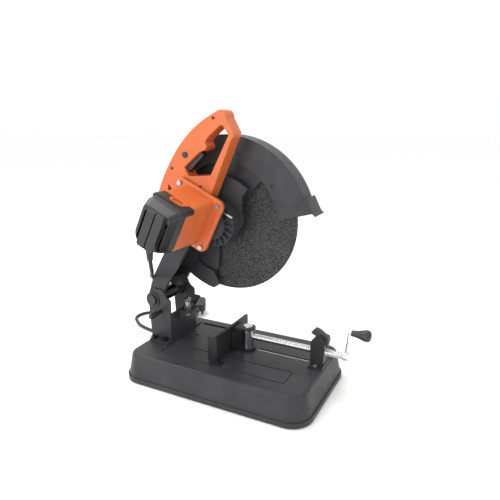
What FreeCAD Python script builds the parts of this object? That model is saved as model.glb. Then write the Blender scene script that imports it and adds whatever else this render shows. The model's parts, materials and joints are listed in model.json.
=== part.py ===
import FreeCAD, Part
import math
import os

# Bench cut-off saw with an abrasive wheel, arm raised.
# Millimetres. Origin: centre of the base's footprint on the surface it stands on.
# +X runs from the arm's hinge to the vise crank, +Y from the motor to the cutting wheel, +Z up.
# "u" and "v" are the head's own directions in the XZ plane, measured from the spindle:
# u to the front of the head and v up through it. They are tilted because the arm is raised.

# Base
BASE_LENGTH = 465.0
BASE_WIDTH = 283.0
BASE_TOP = 66.0
BASE_INSET_X = 13.6
BASE_INSET_Y = 12.6
BASE_CORNER = 48.0
BASE_LEDGE = 3.0
SKIRT_BOTTOM = 2.0
BAND_TOP = 13.0
SHEET = 2.5
TOP_EDGE_RADIUS = 8.0
BENCH_BOLT_X = 200.0
BENCH_BOLT_Y = 109.0
BENCH_HOLE_R = 4.5
FOOT_R = 16.0
FOOT_NECK_R = 7.5
FOOT_LIP_R = 10.0
CORNER_PLATE = 3.0
WHEEL_SLOT_X = (-150.0, 118.0)
WHEEL_SLOT_HALF = 4.5
GUIDE_SLOT_X = (48.0, 180.0)
GUIDE_SLOT_Y = (22.0, 32.0)

# Hinge bracket and the arm's pivot
PIVOT_X = -210.0
PIVOT_Z = 167.0
PIVOT_R = 8.0
CHEEK_NEAR = (-31.0, -27.0)
CHEEK_FAR = (73.0, 77.0)
BRACKET_X = (-220.0, -160.0)
STOP_X = -147.0
STOP_Y = 23.0
STOP_TOP = 163.0
STOP_TAB_Z = 134.0
LOCK_PIN_X = -189.0
LOCK_PIN_Z = 140.0
LOCK_PIN_R = 4.0
LOCK_PIN_TRAVEL = 10.0
ARM_SWING = 36.0

# Head: spindle, motor and wheel
SPINDLE_X = -62.0
SPINDLE_Z = 360.5
HEAD_TILT = 26.0
WHEEL_Y = 96.0
WHEEL_R = 177.5
WHEEL_THICK = 3.2
WHEEL_BORE_R = 12.7
MODULE = 1.25
GEAR_TEETH = 67
PINION_TEETH = 13
GEAR_DISTANCE = MODULE * (GEAR_TEETH + PINION_TEETH) / 2
MOTOR_U = -GEAR_DISTANCE
MOTOR_V = 0.0
MOTOR_FLANGE = 67.0
MOTOR_BOLTS = 55.0
GEAR_Y = (28.0, 44.0)
SPINDLE_R = 10.0
SHAFT_R = 6.0
RUNNING = 0.05

# Guard
GUARD_NEAR = 72.0
GUARD_FAR = 120.0
GUARD_SHEET = 3.0
GUARD_R = 216.0
GUARD_DROP = 15.5
LEDGE_R = 138.0
LEDGE_INNER_R = 107.0
LEDGE_DEPTH = 10.0

# Handle
HANDLE_Y = (6.0, 25.0, 44.0)
HANDLE_ROUND = 2.0

# Vise
FENCE_FACE = -5.0
VISE_Y = 20.0
VISE_Z = 100.0
SCREW_R = 7.5
SWIVEL_X = 26.0
SWIVEL_R = 15.0
NUT_X = (184.0, 218.0)
CRANK_X = 262.0
CRANK_RADIUS = 57.0
CRANK_LEAN = 6.0

X_AXIS = FreeCAD.Vector(1, 0, 0)
Y_AXIS = FreeCAD.Vector(0, 1, 0)
Z_AXIS = FreeCAD.Vector(0, 0, 1)


# ---------------------------------------------------------------- building blocks

def spot(x, y, z):
    return FreeCAD.Vector(x, y, z)


def head(u, v):
    """XZ place of a point given in the head's directions from the spindle."""
    tilt = math.radians(HEAD_TILT)
    x = SPINDLE_X + u * math.cos(tilt) + v * math.sin(tilt)
    z = SPINDLE_Z - u * math.sin(tilt) + v * math.cos(tilt)
    return x, z


def around(centre, radius, degrees):
    """XZ place at a radius and an angle, counted from +X towards +Z."""
    turn = math.radians(degrees)
    return centre[0] + radius * math.cos(turn), centre[1] + radius * math.sin(turn)


def rounded_wire(corners, place):
    """Closed wire through corners (a, b) or (a, b, radius) of a flat outline."""
    count = len(corners)
    spans = []
    for index in range(count):
        before, here, after = (
            FreeCAD.Vector(corners[(index + step) % count][0], corners[(index + step) % count][1], 0)
            for step in (-1, 0, 1)
        )
        radius = corners[index][2] if len(corners[index]) > 2 else 0
        if radius == 0:
            spans.append((here, None, here))
            continue
        back = (before - here).normalize()
        ahead = (after - here).normalize()
        half = back.getAngle(ahead) / 2
        reach = radius / math.tan(half)
        middle = here + (back + ahead).normalize() * (radius / math.sin(half) - radius)
        spans.append((here + back * reach, middle, here + ahead * reach))
    edges = []
    for index in range(count):
        start, middle, end = (None if p is None else place(p.x, p.y) for p in spans[index])
        if middle is not None:
            edges.append(Part.Arc(start, middle, end).toShape())
        following = spans[(index + 1) % count][0]
        following = place(following.x, following.y)
        if end.distanceToPoint(following) > 1e-6:
            edges.append(Part.LineSegment(end, following).toShape())
    return Part.Wire(edges)


def slab_y(corners, y0, y1):
    """Outline in XZ, given thickness along Y."""
    wire = rounded_wire(corners, lambda a, b: spot(a, y0, b))
    return Part.Face(wire).extrude(spot(0, y1 - y0, 0))


def slab_z(corners, z0, z1):
    """Outline in XY, given thickness along Z."""
    wire = rounded_wire(corners, lambda a, b: spot(a, b, z0))
    return Part.Face(wire).extrude(spot(0, 0, z1 - z0))


def slab_x(corners, x0, x1):
    """Outline in YZ, given thickness along X."""
    wire = rounded_wire(corners, lambda a, b: spot(x0, a, b))
    return Part.Face(wire).extrude(spot(x1 - x0, 0, 0))


def block(x, y, z):
    """Box from three (low, high) pairs."""
    return Part.makeBox(x[1] - x[0], y[1] - y[0], z[1] - z[0], spot(x[0], y[0], z[0]))


def rod_y(centre, radius, y0, y1):
    """Cylinder along Y about an XZ centre."""
    return Part.makeCylinder(radius, y1 - y0, spot(centre[0], y0, centre[1]), Y_AXIS)


def rod_z(x, y, radius, z0, z1):
    return Part.makeCylinder(radius, z1 - z0, spot(x, y, z0), Z_AXIS)


def rod_x(y, z, radius, x0, x1):
    return Part.makeCylinder(radius, x1 - x0, spot(x0, y, z), X_AXIS)


def hexagon(across):
    """Corners of a hexagon of a given width across its flats, about (0, 0)."""
    radius = across / math.sqrt(3)
    return [around((0, 0), radius, 60 * k) for k in range(6)]


def hex_z(x, y, across, z0, z1):
    return slab_z([(x + a, y + b) for a, b in hexagon(across)], z0, z1)


def hex_y(centre, across, y0, y1):
    return slab_y([(centre[0] + a, centre[1] + b) for a, b in hexagon(across)], y0, y1)


def turned_y(centre, profile):
    """Solid of revolution about a Y line; profile is a list of (y, radius)."""
    points = [spot(centre[0] + radius, y, centre[1]) for y, radius in profile]
    first = spot(centre[0], profile[0][0], centre[1])
    last = spot(centre[0], profile[-1][0], centre[1])
    points = [first] + [p for p in points if p.distanceToPoint(first) > 1e-6] + [last, first]
    face = Part.Face(Part.makePolygon(points))
    return face.revolve(first, Y_AXIS, 360)


def fuse(*shapes):
    """One solid out of shapes that meet or cross, with flush faces joined."""
    first, rest = shapes[0], list(shapes[1:])
    return first.multiFuse(rest).removeSplitter()


def soften(shape, radius, wanted):
    """Rounds the edges for which wanted(edge) holds."""
    return shape.makeFillet(radius, [edge for edge in shape.Edges if wanted(edge)])


def lies_at_y(y):
    """Test for edges that lie in the plane at a given Y."""
    def test(edge):
        box = edge.BoundBox
        return abs(box.YMin - y) < 1e-4 and abs(box.YMax - y) < 1e-4
    return test


def lies_at_z(z):
    """Test for edges that lie in the plane at a given Z."""
    def test(edge):
        box = edge.BoundBox
        return abs(box.ZMin - z) < 1e-4 and abs(box.ZMax - z) < 1e-4
    return test


PIVOT = (PIVOT_X, PIVOT_Z)
SPINDLE = (SPINDLE_X, SPINDLE_Z)
MOTOR = head(MOTOR_U, MOTOR_V)


# ---------------------------------------------------------------- base

def base_outline(length, width, radius):
    half_x, half_y = length / 2, width / 2
    return [(-half_x, -half_y, radius), (half_x, -half_y, radius),
            (half_x, half_y, radius), (-half_x, half_y, radius)]


def tapered(length, width, radius, z0, z1, edge_radius):
    """Skirt that draws in from the band to the flat top, with a rounded top edge."""
    draw = (z1 - z0) / (BASE_TOP - BAND_TOP)
    inset_x = 2 * (BASE_INSET_X - BASE_LEDGE) * draw
    inset_y = 2 * (BASE_INSET_Y - BASE_LEDGE) * draw
    corner_top = radius - (BASE_INSET_X - BASE_LEDGE) * draw
    low = rounded_wire(base_outline(length, width, radius), lambda a, b: spot(a, b, z0))
    high = rounded_wire(base_outline(length - inset_x, width - inset_y, corner_top),
                        lambda a, b: spot(a, b, z1))
    skirt = Part.makeLoft([low, high], True, True)
    return soften(skirt, edge_radius, lies_at_z(z1))


def base_volume(shrink):
    """Outer form of the base, or the space inside it when shrunk by the sheet."""
    length = BASE_LENGTH - 2 * shrink
    width = BASE_WIDTH - 2 * shrink
    band = slab_z(base_outline(length, width, BASE_CORNER - shrink), SKIRT_BOTTOM, BAND_TOP - shrink)
    skirt = tapered(length - 2 * BASE_LEDGE, width - 2 * BASE_LEDGE, BASE_CORNER - BASE_LEDGE - shrink,
                    BAND_TOP - shrink, BASE_TOP - shrink, TOP_EDGE_RADIUS - shrink)
    return fuse(band, skirt)


def corner_plates(inside):
    """Four plates welded across the corners, which carry the feet."""
    plates = []
    top = BAND_TOP - SHEET
    for side_x in (-1, 1):
        for side_y in (-1, 1):
            x = sorted((side_x * 165.0, side_x * 240.0))
            y = sorted((side_y * 74.0, side_y * 150.0))
            plate = block(x, y, (top - CORNER_PLATE, top)).common(inside)
            hole = rod_z(side_x * BENCH_BOLT_X, side_y * BENCH_BOLT_Y, FOOT_NECK_R, 0, BASE_TOP / 2)
            plates.append(plate.cut(hole))
    return plates


def pressed_groove():
    """Shallow groove round the long panel pressed into the near side of the top."""
    left, right, near, far = -152.0, 167.0, -91.0, -37.0
    depth, width, radius = 1.4, 4.0, 8.0

    def panel(shrink):
        corner = radius - shrink
        return slab_z([(left + shrink, near + shrink, corner), (right - shrink, near + shrink, corner),
                       (right - shrink, far - shrink, corner), (left + shrink, far - shrink, corner)],
                      BASE_TOP - depth, BASE_TOP + 1)
    return panel(0).cut(panel(width))


def wheel_slot():
    """Slot in the top that the wheel's rim dips into at the end of a cut."""
    x0, x1 = WHEEL_SLOT_X
    y0, y1 = WHEEL_Y - WHEEL_SLOT_HALF, WHEEL_Y + WHEEL_SLOT_HALF
    end = WHEEL_SLOT_HALF - 0.01
    return slab_z([(x0, y0, end), (x1, y0, end), (x1, y1, end), (x0, y1, end)], BASE_TOP - 20, BASE_TOP + 1)


def guide_slot():
    """Slot in the top beside the vise screw, along the jaw's travel."""
    x0, x1 = GUIDE_SLOT_X
    y0, y1 = GUIDE_SLOT_Y
    end = (y1 - y0) / 2 - 0.01
    return slab_z([(x0, y0, end), (x1, y0, end), (x1, y1, end), (x0, y1, end)], BASE_TOP - 20, BASE_TOP + 1)


def base_shell():
    inside = base_volume(SHEET)
    shell = base_volume(0).cut(inside)
    shell = fuse(shell, *corner_plates(inside))
    shell = shell.cut(pressed_groove())
    shell = shell.cut(wheel_slot())
    shell = shell.cut(guide_slot())
    return shell.cut(rod_z(-125.0, 30.0, 4.0, BASE_TOP - 10, BASE_TOP + 1))


def foot(x, y):
    """Rubber foot buttoned into a corner plate, with a clear hole for a bench bolt."""
    plate_bottom = BAND_TOP - SHEET - CORNER_PLATE
    plate_top = BAND_TOP - SHEET
    pad = soften(rod_z(x, y, FOOT_R, 0, plate_bottom), 1.5, lies_at_z(0))
    body = fuse(pad, rod_z(x, y, FOOT_NECK_R, plate_bottom, plate_top),
                rod_z(x, y, FOOT_LIP_R, plate_top, plate_top + 2.5))
    return body.cut(rod_z(x, y, BENCH_HOLE_R, -1, plate_top + 4))


# ---------------------------------------------------------------- hinge bracket

BRACKET_FOOT = 4.0
BRACKET_BOLTS = [(-206.0, -42.0), (-174.0, -42.0), (-206.0, 88.0), (-174.0, 88.0)]
BOLT_HEAD = 5.0


def cheek(y):
    rear, front = BRACKET_X
    foot_top = BASE_TOP + BRACKET_FOOT
    plate = slab_y([(rear, foot_top), (rear - 4, 148, 40), (rear - 8, 176, 14), (PIVOT_X - 2, 197, 16),
                    (-183, 196, 10), (-172, 179, 8), (front, 171, 6), (front, foot_top)], *y)
    return plate


def stop_tab():
    """Closed front of the bracket, with a tab on two gussets for the depth-stop bolt."""
    front = BRACKET_X[1]
    top = STOP_TAB_Z + 2.5
    tip = STOP_X + 21
    wall = block((front - 4, front), (CHEEK_NEAR[1], CHEEK_FAR[0]), (BASE_TOP + BRACKET_FOOT, top))
    tab = slab_z([(front, 3), (tip, 3, 8), (tip, 43, 8), (front, 43)], top - 5, top)
    gussets = [slab_y([(front, top - 5), (tip - 6, top - 5), (front, 108)], y, y + 4) for y in (3, 39)]
    return fuse(wall, tab, *gussets).cut(rod_z(STOP_X, STOP_Y, 5.2, top - 10, top + 5))


def cord_hook():
    """Ear on the far cheek."""
    front = BRACKET_X[1]
    return slab_y([(front - 2, 154), (front + 12, 154), (front + 19, 151, 3), (front - 2, 118)], *CHEEK_FAR)


def hinge_bracket():
    rear, front = BRACKET_X
    foot_plate = slab_z([(rear + 6, -54, 8), (front + 4, -54, 8), (front + 4, 101, 8), (rear + 6, 101, 8)],
                        BASE_TOP, BASE_TOP + BRACKET_FOOT)
    boss = rod_y(PIVOT, 19.0, CHEEK_NEAR[0] - 3, CHEEK_NEAR[0])
    bracket = fuse(foot_plate, cheek(CHEEK_NEAR), cheek(CHEEK_FAR), boss, stop_tab(), cord_hook())
    for x, y in BRACKET_BOLTS:
        bracket = bracket.cut(rod_z(x, y, 4.1, BASE_TOP - 1, BASE_TOP + 10))
    bracket = bracket.cut(rod_y(PIVOT, PIVOT_R, -60, 120))
    return bracket.cut(rod_y((LOCK_PIN_X, LOCK_PIN_Z), LOCK_PIN_R + 0.1, CHEEK_NEAR[0] - 1, CHEEK_NEAR[1] + 1))


def bracket_bolt(x, y):
    foot_top = BASE_TOP + BRACKET_FOOT
    washer = rod_z(x, y, 8.0, foot_top, foot_top + 1.2)
    head_top = hex_z(x, y, 13.0, foot_top + 1.2, foot_top + 1.2 + BOLT_HEAD)
    return fuse(rod_z(x, y, 4.0, BASE_TOP, foot_top), washer, head_top)


def pivot_pin():
    near = CHEEK_NEAR[0] - 3
    far = CHEEK_FAR[1]
    shank = rod_y(PIVOT, PIVOT_R, near, far + 12)
    head_disc = soften(rod_y(PIVOT, 13.0, near - 6, near), 2.0, lies_at_y(near - 6))
    return fuse(shank, head_disc)


def pivot_nut():
    far = CHEEK_FAR[1]
    return hex_y(PIVOT, 24.0, far, far + 9).cut(rod_y(PIVOT, PIVOT_R + 0.02, far - 1, far + 20))


def return_spring():
    """Torsion spring on the pivot pin that lifts the arm."""
    wire_r, mean_r, pitch, turns = 2.2, 14.0, 5.2, 11
    start_y = -4.0
    helix = Part.makeHelix(pitch, pitch * turns, mean_r)
    section = Part.Wire(Part.makeCircle(wire_r, spot(mean_r, 0, 0), spot(0, 1, 0.06)))
    coil = Part.Wire(helix.Edges).makePipeShell([section], True, True)
    coil.rotate(spot(0, 0, 0), X_AXIS, -90)
    coil.translate(spot(PIVOT_X, start_y, PIVOT_Z))
    return coil


def stop_bolt():
    top = STOP_TOP
    shank = rod_z(STOP_X, STOP_Y, 5.0, STOP_TAB_Z - 16, top - 7)
    return fuse(shank, hex_z(STOP_X, STOP_Y, 17.0, top - 7, top))


def stop_nut():
    base = STOP_TAB_Z + 2.5
    return hex_z(STOP_X, STOP_Y, 17.0, base, base + 7).cut(rod_z(STOP_X, STOP_Y, 5.03, base - 1, base + 9))


def lock_pin():
    """Transport pin with a knurled grip; pushed in, it holds the arm down."""
    centre = (LOCK_PIN_X, LOCK_PIN_Z)
    plate = CHEEK_NEAR[0]
    grip = turned_y(centre, [(plate - 42, 5.0), (plate - 40, 6.5), (plate - LOCK_PIN_TRAVEL - 2, 6.5)])
    return fuse(grip, rod_y(centre, LOCK_PIN_R, plate - LOCK_PIN_TRAVEL - 3, CHEEK_NEAR[1] - 0.4))


# ---------------------------------------------------------------- arm with gear case

ARM_WALL = 7.0
ARM_SIDES = [(225.0, -210.0, -160.0, -26.5, 71.5), (322.0, -172.0, -110.0, 4.0, 66.0)]
LOBE_RADIUS = math.hypot(LOCK_PIN_X - PIVOT_X, LOCK_PIN_Z - PIVOT_Z)
LOBE_ANGLE = math.degrees(math.atan2(LOCK_PIN_Z - PIVOT_Z, LOCK_PIN_X - PIVOT_X))


def arm_section(z, rear, front, near, far):
    return Part.makePolygon([spot(rear, near, z), spot(front, near, z), spot(front, far, z),
                             spot(rear, far, z), spot(rear, near, z)])


def arm_column():
    """Tapered upper arm, open to the front."""
    low, high = ARM_SIDES
    outer = Part.makeLoft([arm_section(*low), arm_section(*high)], True, True)
    trims = [(z, rear + ARM_WALL, front + 30, near + ARM_WALL, far - ARM_WALL)
             for z, rear, front, near, far in ARM_SIDES]
    trims[1] = (trims[1][0] - 22,) + trims[1][1:]
    inner = Part.makeLoft([arm_section(*trims[0]), arm_section(*trims[1])], True, True)
    return outer.cut(inner)


def arm_cheek(y0, y1):
    """Side of the lower arm, with the boss that turns on the pivot pin."""
    z, rear, front = ARM_SIDES[0][:3]
    side = slab_y([(PIVOT_X - 20, PIVOT_Z), (-215, 210), (rear, z), (front, z),
                   (-180, 192, 6), (PIVOT_X + 19, PIVOT_Z)], y0, y1)
    return fuse(side, rod_y(PIVOT, 20.0, y0, y1))


def stop_pad():
    """Rib on the arm whose flat end lands on the depth-stop bolt."""
    x, z = STOP_X - PIVOT_X, STOP_TOP - PIVOT_Z
    swing = math.radians(ARM_SWING)
    pad = (PIVOT_X + x * math.cos(swing) - z * math.sin(swing),
           PIVOT_Z + x * math.sin(swing) + z * math.cos(swing))
    along = (math.cos(swing), math.sin(swing))
    low = (pad[0] - 9 * along[0], pad[1] - 9 * along[1])
    high = (pad[0] + 9 * along[0], pad[1] + 9 * along[1])
    return slab_y([low, high, (-163, 222), (-205, 228), (-209, 208), (-180, 204)], STOP_Y - 15, STOP_Y + 15)


def lock_lobe():
    """Lobe on the near cheek with the hole that the transport pin enters when the arm is down."""
    angle = LOBE_ANGLE + ARM_SWING
    near = ARM_SIDES[0][3]
    hole = around(PIVOT, LOBE_RADIUS, angle)
    neck = slab_y([around(PIVOT, 18, angle + 90), around(hole, 10, angle + 90),
                   around(hole, 10, angle - 90), around(PIVOT, 18, angle - 90)], near, near + 10)
    return fuse(neck, rod_y(hole, 10.0, near, near + 10)), rod_y(hole, LOCK_PIN_R + 0.3, near - 1, near + 20)


def head_square(half_u, half_v, radius, y0, y1, centre_u=MOTOR_U, centre_v=MOTOR_V):
    """Rounded rectangle square to the head, given thickness along Y."""
    corners = [head(centre_u + su * half_u, centre_v + sv * half_v) + (radius,)
               for su, sv in ((-1, -1), (1, -1), (1, 1), (-1, 1))]
    return slab_y(corners, y0, y1)


def case_body():
    """Gear case: a drum about the spindle and the plate the motor bolts to."""
    drum = rod_y(SPINDLE, 52.0, 20, 52)
    front_boss = rod_y(SPINDLE, 34.0, 8, 20)
    motor_plate = head_square(MOTOR_FLANGE - 2, MOTOR_FLANGE - 2, 18, 2, 14)
    motor_drum = rod_y(MOTOR, 44.0, 14, 52)
    neck = slab_y([(-172, 321), (-110, 321), head(-40, -44), head(-110, -30)], 14, 52)
    neck_plate = slab_y([(-172, 321), (-110, 321), (-96, 345), (-178, 352)], 4, 66)
    ribs = [case_rib(angle) for angle in range(-80, 61, 20)]
    return fuse(drum, front_boss, motor_plate, motor_drum, neck, neck_plate, *ribs)


def case_rib(angle):
    """Stiffening rib on the near face of the drum."""
    side = 1.6
    root_low = around(SPINDLE, 30.0, angle - 3)
    root_high = around(SPINDLE, 30.0, angle + 3)
    tip = around(SPINDLE, 49.0, angle)
    across = math.radians(angle + 90)
    low = (tip[0] - side * math.cos(across), tip[1] - side * math.sin(across))
    high = (tip[0] + side * math.cos(across), tip[1] + side * math.sin(across))
    return slab_y([root_low, low, high, root_high], 13, 20)


def gear_cavity():
    """Space for the gears, closed on the wheel side by the bearing plate."""
    inner = rod_y(SPINDLE, 46.0, 26, 53)
    motor_inner = rod_y(MOTOR, 13.0, 26, 53)
    return fuse(inner, motor_inner)


def lock_boss():
    """Boss on the gear case that guides the spindle-lock pin."""
    u0, u1, v = LOCK_U
    corners = [head(u0, v - 7), head(u1, v - 7), head(u1, v + 7), head(u0, v + 7)]
    return slab_y(corners, LOCK_Y - 7, LOCK_Y + 8)


LOCK_U = (-14.0, 12.0, 39.5)
LOCK_Y = 16.0
LOCK_R = 3.0


def lock_line(u0, u1, radius):
    """Cylinder along the spindle-lock pin's own line."""
    start = head(u0, LOCK_U[2])
    end = head(u1, LOCK_U[2])
    way = spot(end[0] - start[0], 0, end[1] - start[1])
    return Part.makeCylinder(radius, u1 - u0, spot(start[0], LOCK_Y, start[1]), way)


def motor_bolt_places():
    return [head(MOTOR_U + su * MOTOR_BOLTS, MOTOR_V + sv * MOTOR_BOLTS)
            for su, sv in ((1, 1), (1, -1), (-1, -1), (-1, 1))]


def cord_clip():
    """Clip cast on the back of the arm for the cord."""
    hook = block((-246, -222), (8, 28), (178, 192))
    neck = block((-226, -214), (8, 28), (178, 212))
    return fuse(hook, neck)


def swing_arm():
    near, far = ARM_SIDES[0][3:]
    lobe, lobe_hole = lock_lobe()
    arm = fuse(arm_column(), arm_cheek(near, near + 10), arm_cheek(far - 10, far), stop_pad(), lobe,
               case_body(), lock_boss(), cord_clip())
    back = block((-225, -203), (near, far), (197, 226)).common(
        slab_y([(-219, 197), (-212, 197), (-202, 226), (-210, 226)], near, far))
    arm = fuse(arm, back)
    arm = arm.cut(gear_cavity())
    arm = arm.cut(lobe_hole)
    arm = arm.cut(rod_y(PIVOT, PIVOT_R + RUNNING, -60, 120))
    arm = arm.cut(rod_y(SPINDLE, SPINDLE_R + RUNNING, 12, 27))
    arm = arm.cut(rod_y(MOTOR, SHAFT_R + RUNNING, 0, 27))
    arm = arm.cut(rod_y(MOTOR, 15.0, 0, 12))
    for place in motor_bolt_places():
        arm = arm.cut(rod_y(place, 2.6, 0, 15))
    arm = arm.cut(lock_line(-30, 60, LOCK_R + RUNNING))
    arm = arm.cut(head_square(MOTOR_FLANGE + 0.5, MOTOR_FLANGE + 0.5, 16, FLANGE_Y[0] - 1, FLANGE_Y[1]))
    arm = arm.cut(bearing_plate())
    arm = arm.cut(rod_y(PIVOT, 17.5, near + 10, far - 10))
    start, end = spot(*ARM_ROUTE[-2]), spot(*ARM_ROUTE[-1])
    return arm.cut(Part.makeCylinder(CORD_R + 0.3, 60, start, end - start))


def bearing_plate():
    """Plate that closes the gear case and carries the guard and the spindle's wheel-side bearing."""
    y0, y1 = 52.0, 60.0
    outline = [(9, 441), (-6, 422, 8), (-7, 391), (-3, 366, 6), (-15, 343, 10), (-45, 306, 12),
               (-130, 322, 20), (-168, 380, 30), (-150, 430, 20)]
    plate = slab_y(outline, y0, y1)
    top = rod_y(SPINDLE, LEDGE_INNER_R, y0, y1).common(
        slab_y([(9, 441), (30, 500), (-160, 500), (-150, 430), SPINDLE], y0, y1))
    hub = rod_y(SPINDLE, 30.0, y1, GUARD_NEAR + LEDGE_DEPTH)
    plate = fuse(plate, top, hub)
    plate = plate.cut(rod_y(SPINDLE, SPINDLE_R + RUNNING, y0 - 1, GUARD_NEAR + 20))
    return plate.cut(rod_y(MOTOR, SHAFT_R + RUNNING, y0 - 1, y0 + 5))


def spindle_lock():
    """Steel pin that is pushed in to hold the spindle while the wheel is changed."""
    return lock_line(-20, 38, LOCK_R)


# ---------------------------------------------------------------- wheel, spindle and gears

def spindle():
    shaft = rod_y(SPINDLE, SPINDLE_R, 12.5, 96)
    return shaft.cut(rod_y(SPINDLE, 5.03, 76, 97))


def involute(base_r, radius):
    """Angle that an involute flank has turned through at a radius."""
    if radius <= base_r:
        return 0.0
    pressure = math.acos(base_r / radius)
    return math.tan(pressure) - pressure


def gear_outline(teeth, addendum, backlash, centre, phase):
    """Involute gear of 20 degree teeth; phase puts a tooth's middle at that angle."""
    pitch_r = MODULE * teeth / 2
    base_r = pitch_r * math.cos(math.radians(20))
    root_r = pitch_r - 1.25 * MODULE
    tip_r = pitch_r + addendum
    half = math.pi / (2 * teeth) - backlash / (2 * pitch_r) + involute(base_r, pitch_r)
    start_r = max(base_r, root_r)
    radii = [start_r + (tip_r - start_r) * k / 4 for k in range(5)]
    flank = [(radius, half - involute(base_r, radius)) for radius in radii]
    if root_r < base_r:
        flank = [(root_r, half)] + flank
    points = []
    for tooth in range(teeth):
        middle = phase + 2 * math.pi * tooth / teeth
        for radius, offset in flank:
            points.append(around(centre, radius, math.degrees(middle - offset)))
        for radius, offset in reversed(flank):
            points.append(around(centre, radius, math.degrees(middle + offset)))
    return points


def gear_direction():
    """Angle of the line from the spindle to the motor shaft."""
    return math.atan2(MOTOR[1] - SPINDLE[1], MOTOR[0] - SPINDLE[0])


GEAR_ADDENDUM = 0.95
GEAR_BACKLASH = 0.16


def spindle_gear():
    outline = gear_outline(GEAR_TEETH, GEAR_ADDENDUM, GEAR_BACKLASH, SPINDLE, gear_direction())
    gear = slab_y(outline, *GEAR_Y)
    for angle in range(0, 360, 60):
        gear = gear.cut(rod_y(around(SPINDLE, 26.0, angle), 7.0, GEAR_Y[0] - 1, GEAR_Y[1] + 1))
    return gear.cut(rod_y(SPINDLE, SPINDLE_R + 0.02, GEAR_Y[0] - 1, GEAR_Y[1] + 1))


def inner_flange():
    wheel_near = WHEEL_Y - WHEEL_THICK / 2
    disc = rod_y(SPINDLE, 38.0, wheel_near - 6, wheel_near)
    hub = rod_y(SPINDLE, WHEEL_BORE_R - 0.05, wheel_near, WHEEL_Y + 1)
    relief = rod_y(SPINDLE, 24.0, wheel_near - 1, wheel_near).cut(
        rod_y(SPINDLE, WHEEL_BORE_R + 3, wheel_near - 2, wheel_near))
    return fuse(disc, hub).cut(relief).cut(rod_y(SPINDLE, SPINDLE_R + 0.02, 80, 100))


def outer_flange():
    wheel_far = WHEEL_Y + WHEEL_THICK / 2
    disc = soften(rod_y(SPINDLE, 38.0, wheel_far, wheel_far + 6), 2.0, lies_at_y(wheel_far + 6))
    return disc.cut(rod_y(SPINDLE, 5.2, wheel_far - 1, wheel_far + 8))


def cutting_wheel():
    half = WHEEL_THICK / 2
    disc = rod_y(SPINDLE, WHEEL_R, WHEEL_Y - half, WHEEL_Y + half)
    return disc.cut(rod_y(SPINDLE, WHEEL_BORE_R, WHEEL_Y - half - 1, WHEEL_Y + half + 1))


def wheel_bolt():
    seat = WHEEL_Y + WHEEL_THICK / 2 + 6
    washer = rod_y(SPINDLE, 12.0, seat, seat + 2)
    return fuse(rod_y(SPINDLE, 5.0, 80, seat), washer, hex_y(SPINDLE, 17.0, seat + 2, seat + 8))


# ---------------------------------------------------------------- guard

GUARD_CENTRE = (SPINDLE_X, SPINDLE_Z - GUARD_DROP)
REAR_R = 181.0
REAR_START = 222.0
REAR_END = 258.5
CROWN_END = 95.0
SECTOR_START = 47.0


def traced_y(start, moves, y0, y1):
    """Outline in XZ of straight moves (x, z) and arcs (via x, via z, x, z), given thickness along Y."""
    here = spot(start[0], y0, start[1])
    edges = []
    for move in moves:
        end = spot(move[-2], y0, move[-1])
        if len(move) == 4:
            edges.append(Part.Arc(here, spot(move[0], y0, move[1]), end).toShape())
        else:
            edges.append(Part.LineSegment(here, end).toShape())
        here = end
    return Part.Face(Part.Wire(edges)).extrude(spot(0, y1 - y0, 0))


def blend_circle():
    """Circle that leaves the guard's crown smoothly and meets its rear arc."""
    start = around(GUARD_CENTRE, GUARD_R, CROWN_END)
    end = around(SPINDLE, REAR_R, REAR_START)
    inward = ((GUARD_CENTRE[0] - start[0]) / GUARD_R, (GUARD_CENTRE[1] - start[1]) / GUARD_R)
    span = (end[0] - start[0], end[1] - start[1])
    radius = (span[0] ** 2 + span[1] ** 2) / (2 * (inward[0] * span[0] + inward[1] * span[1]))
    centre = (start[0] + radius * inward[0], start[1] + radius * inward[1])
    end_angle = math.degrees(math.atan2(end[1] - centre[1], end[0] - centre[0])) % 360
    return centre, radius, end_angle


def guard_arcs(shrink, first, last):
    """Start point and arcs over the crown and down the rear, set in from the outside by shrink."""
    centre, radius, end_angle = blend_circle()
    start = around(GUARD_CENTRE, GUARD_R - shrink, first)
    middle = (first + CROWN_END) / 2
    arcs = [
        around(GUARD_CENTRE, GUARD_R - shrink, middle) + around(GUARD_CENTRE, GUARD_R - shrink, CROWN_END),
        around(centre, radius - shrink, (CROWN_END + end_angle) / 2) + around(centre, radius - shrink, end_angle),
        around(SPINDLE, REAR_R - shrink, REAR_START + 0.3),
        around(SPINDLE, REAR_R - shrink, (REAR_START + last) / 2) + around(SPINDLE, REAR_R - shrink, last),
    ]
    return start, arcs


def guard_side(y0, y1):
    """Whole side of the guard, down to its open lower edge."""
    start, moves = guard_arcs(0, 14.5, REAR_END)
    moves = moves + [(-84, 199), (-97, 226), (-88, 238), (-84, 302), (-60, 316), (83, 372), (124, 386), start]
    return traced_y(start, moves, y0, y1)


def guard_space(y0, y1):
    """Room inside the guard's rim, open at the bottom."""
    start, moves = guard_arcs(GUARD_SHEET, 3.0, 268.0)
    moves = moves + [(-60, 150), (160, 150), start]
    return traced_y(start, moves, y0, y1)


def guard_sector(y0, y1):
    """Stretch of the guard that is closed inwards of the ledge's outer edge."""
    corners = [SPINDLE, around(SPINDLE, 300, SECTOR_START), around(SPINDLE, 320, 110),
               around(SPINDLE, 320, 190), around(SPINDLE, 320, 262)]
    return slab_y(corners, y0, y1)


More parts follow.
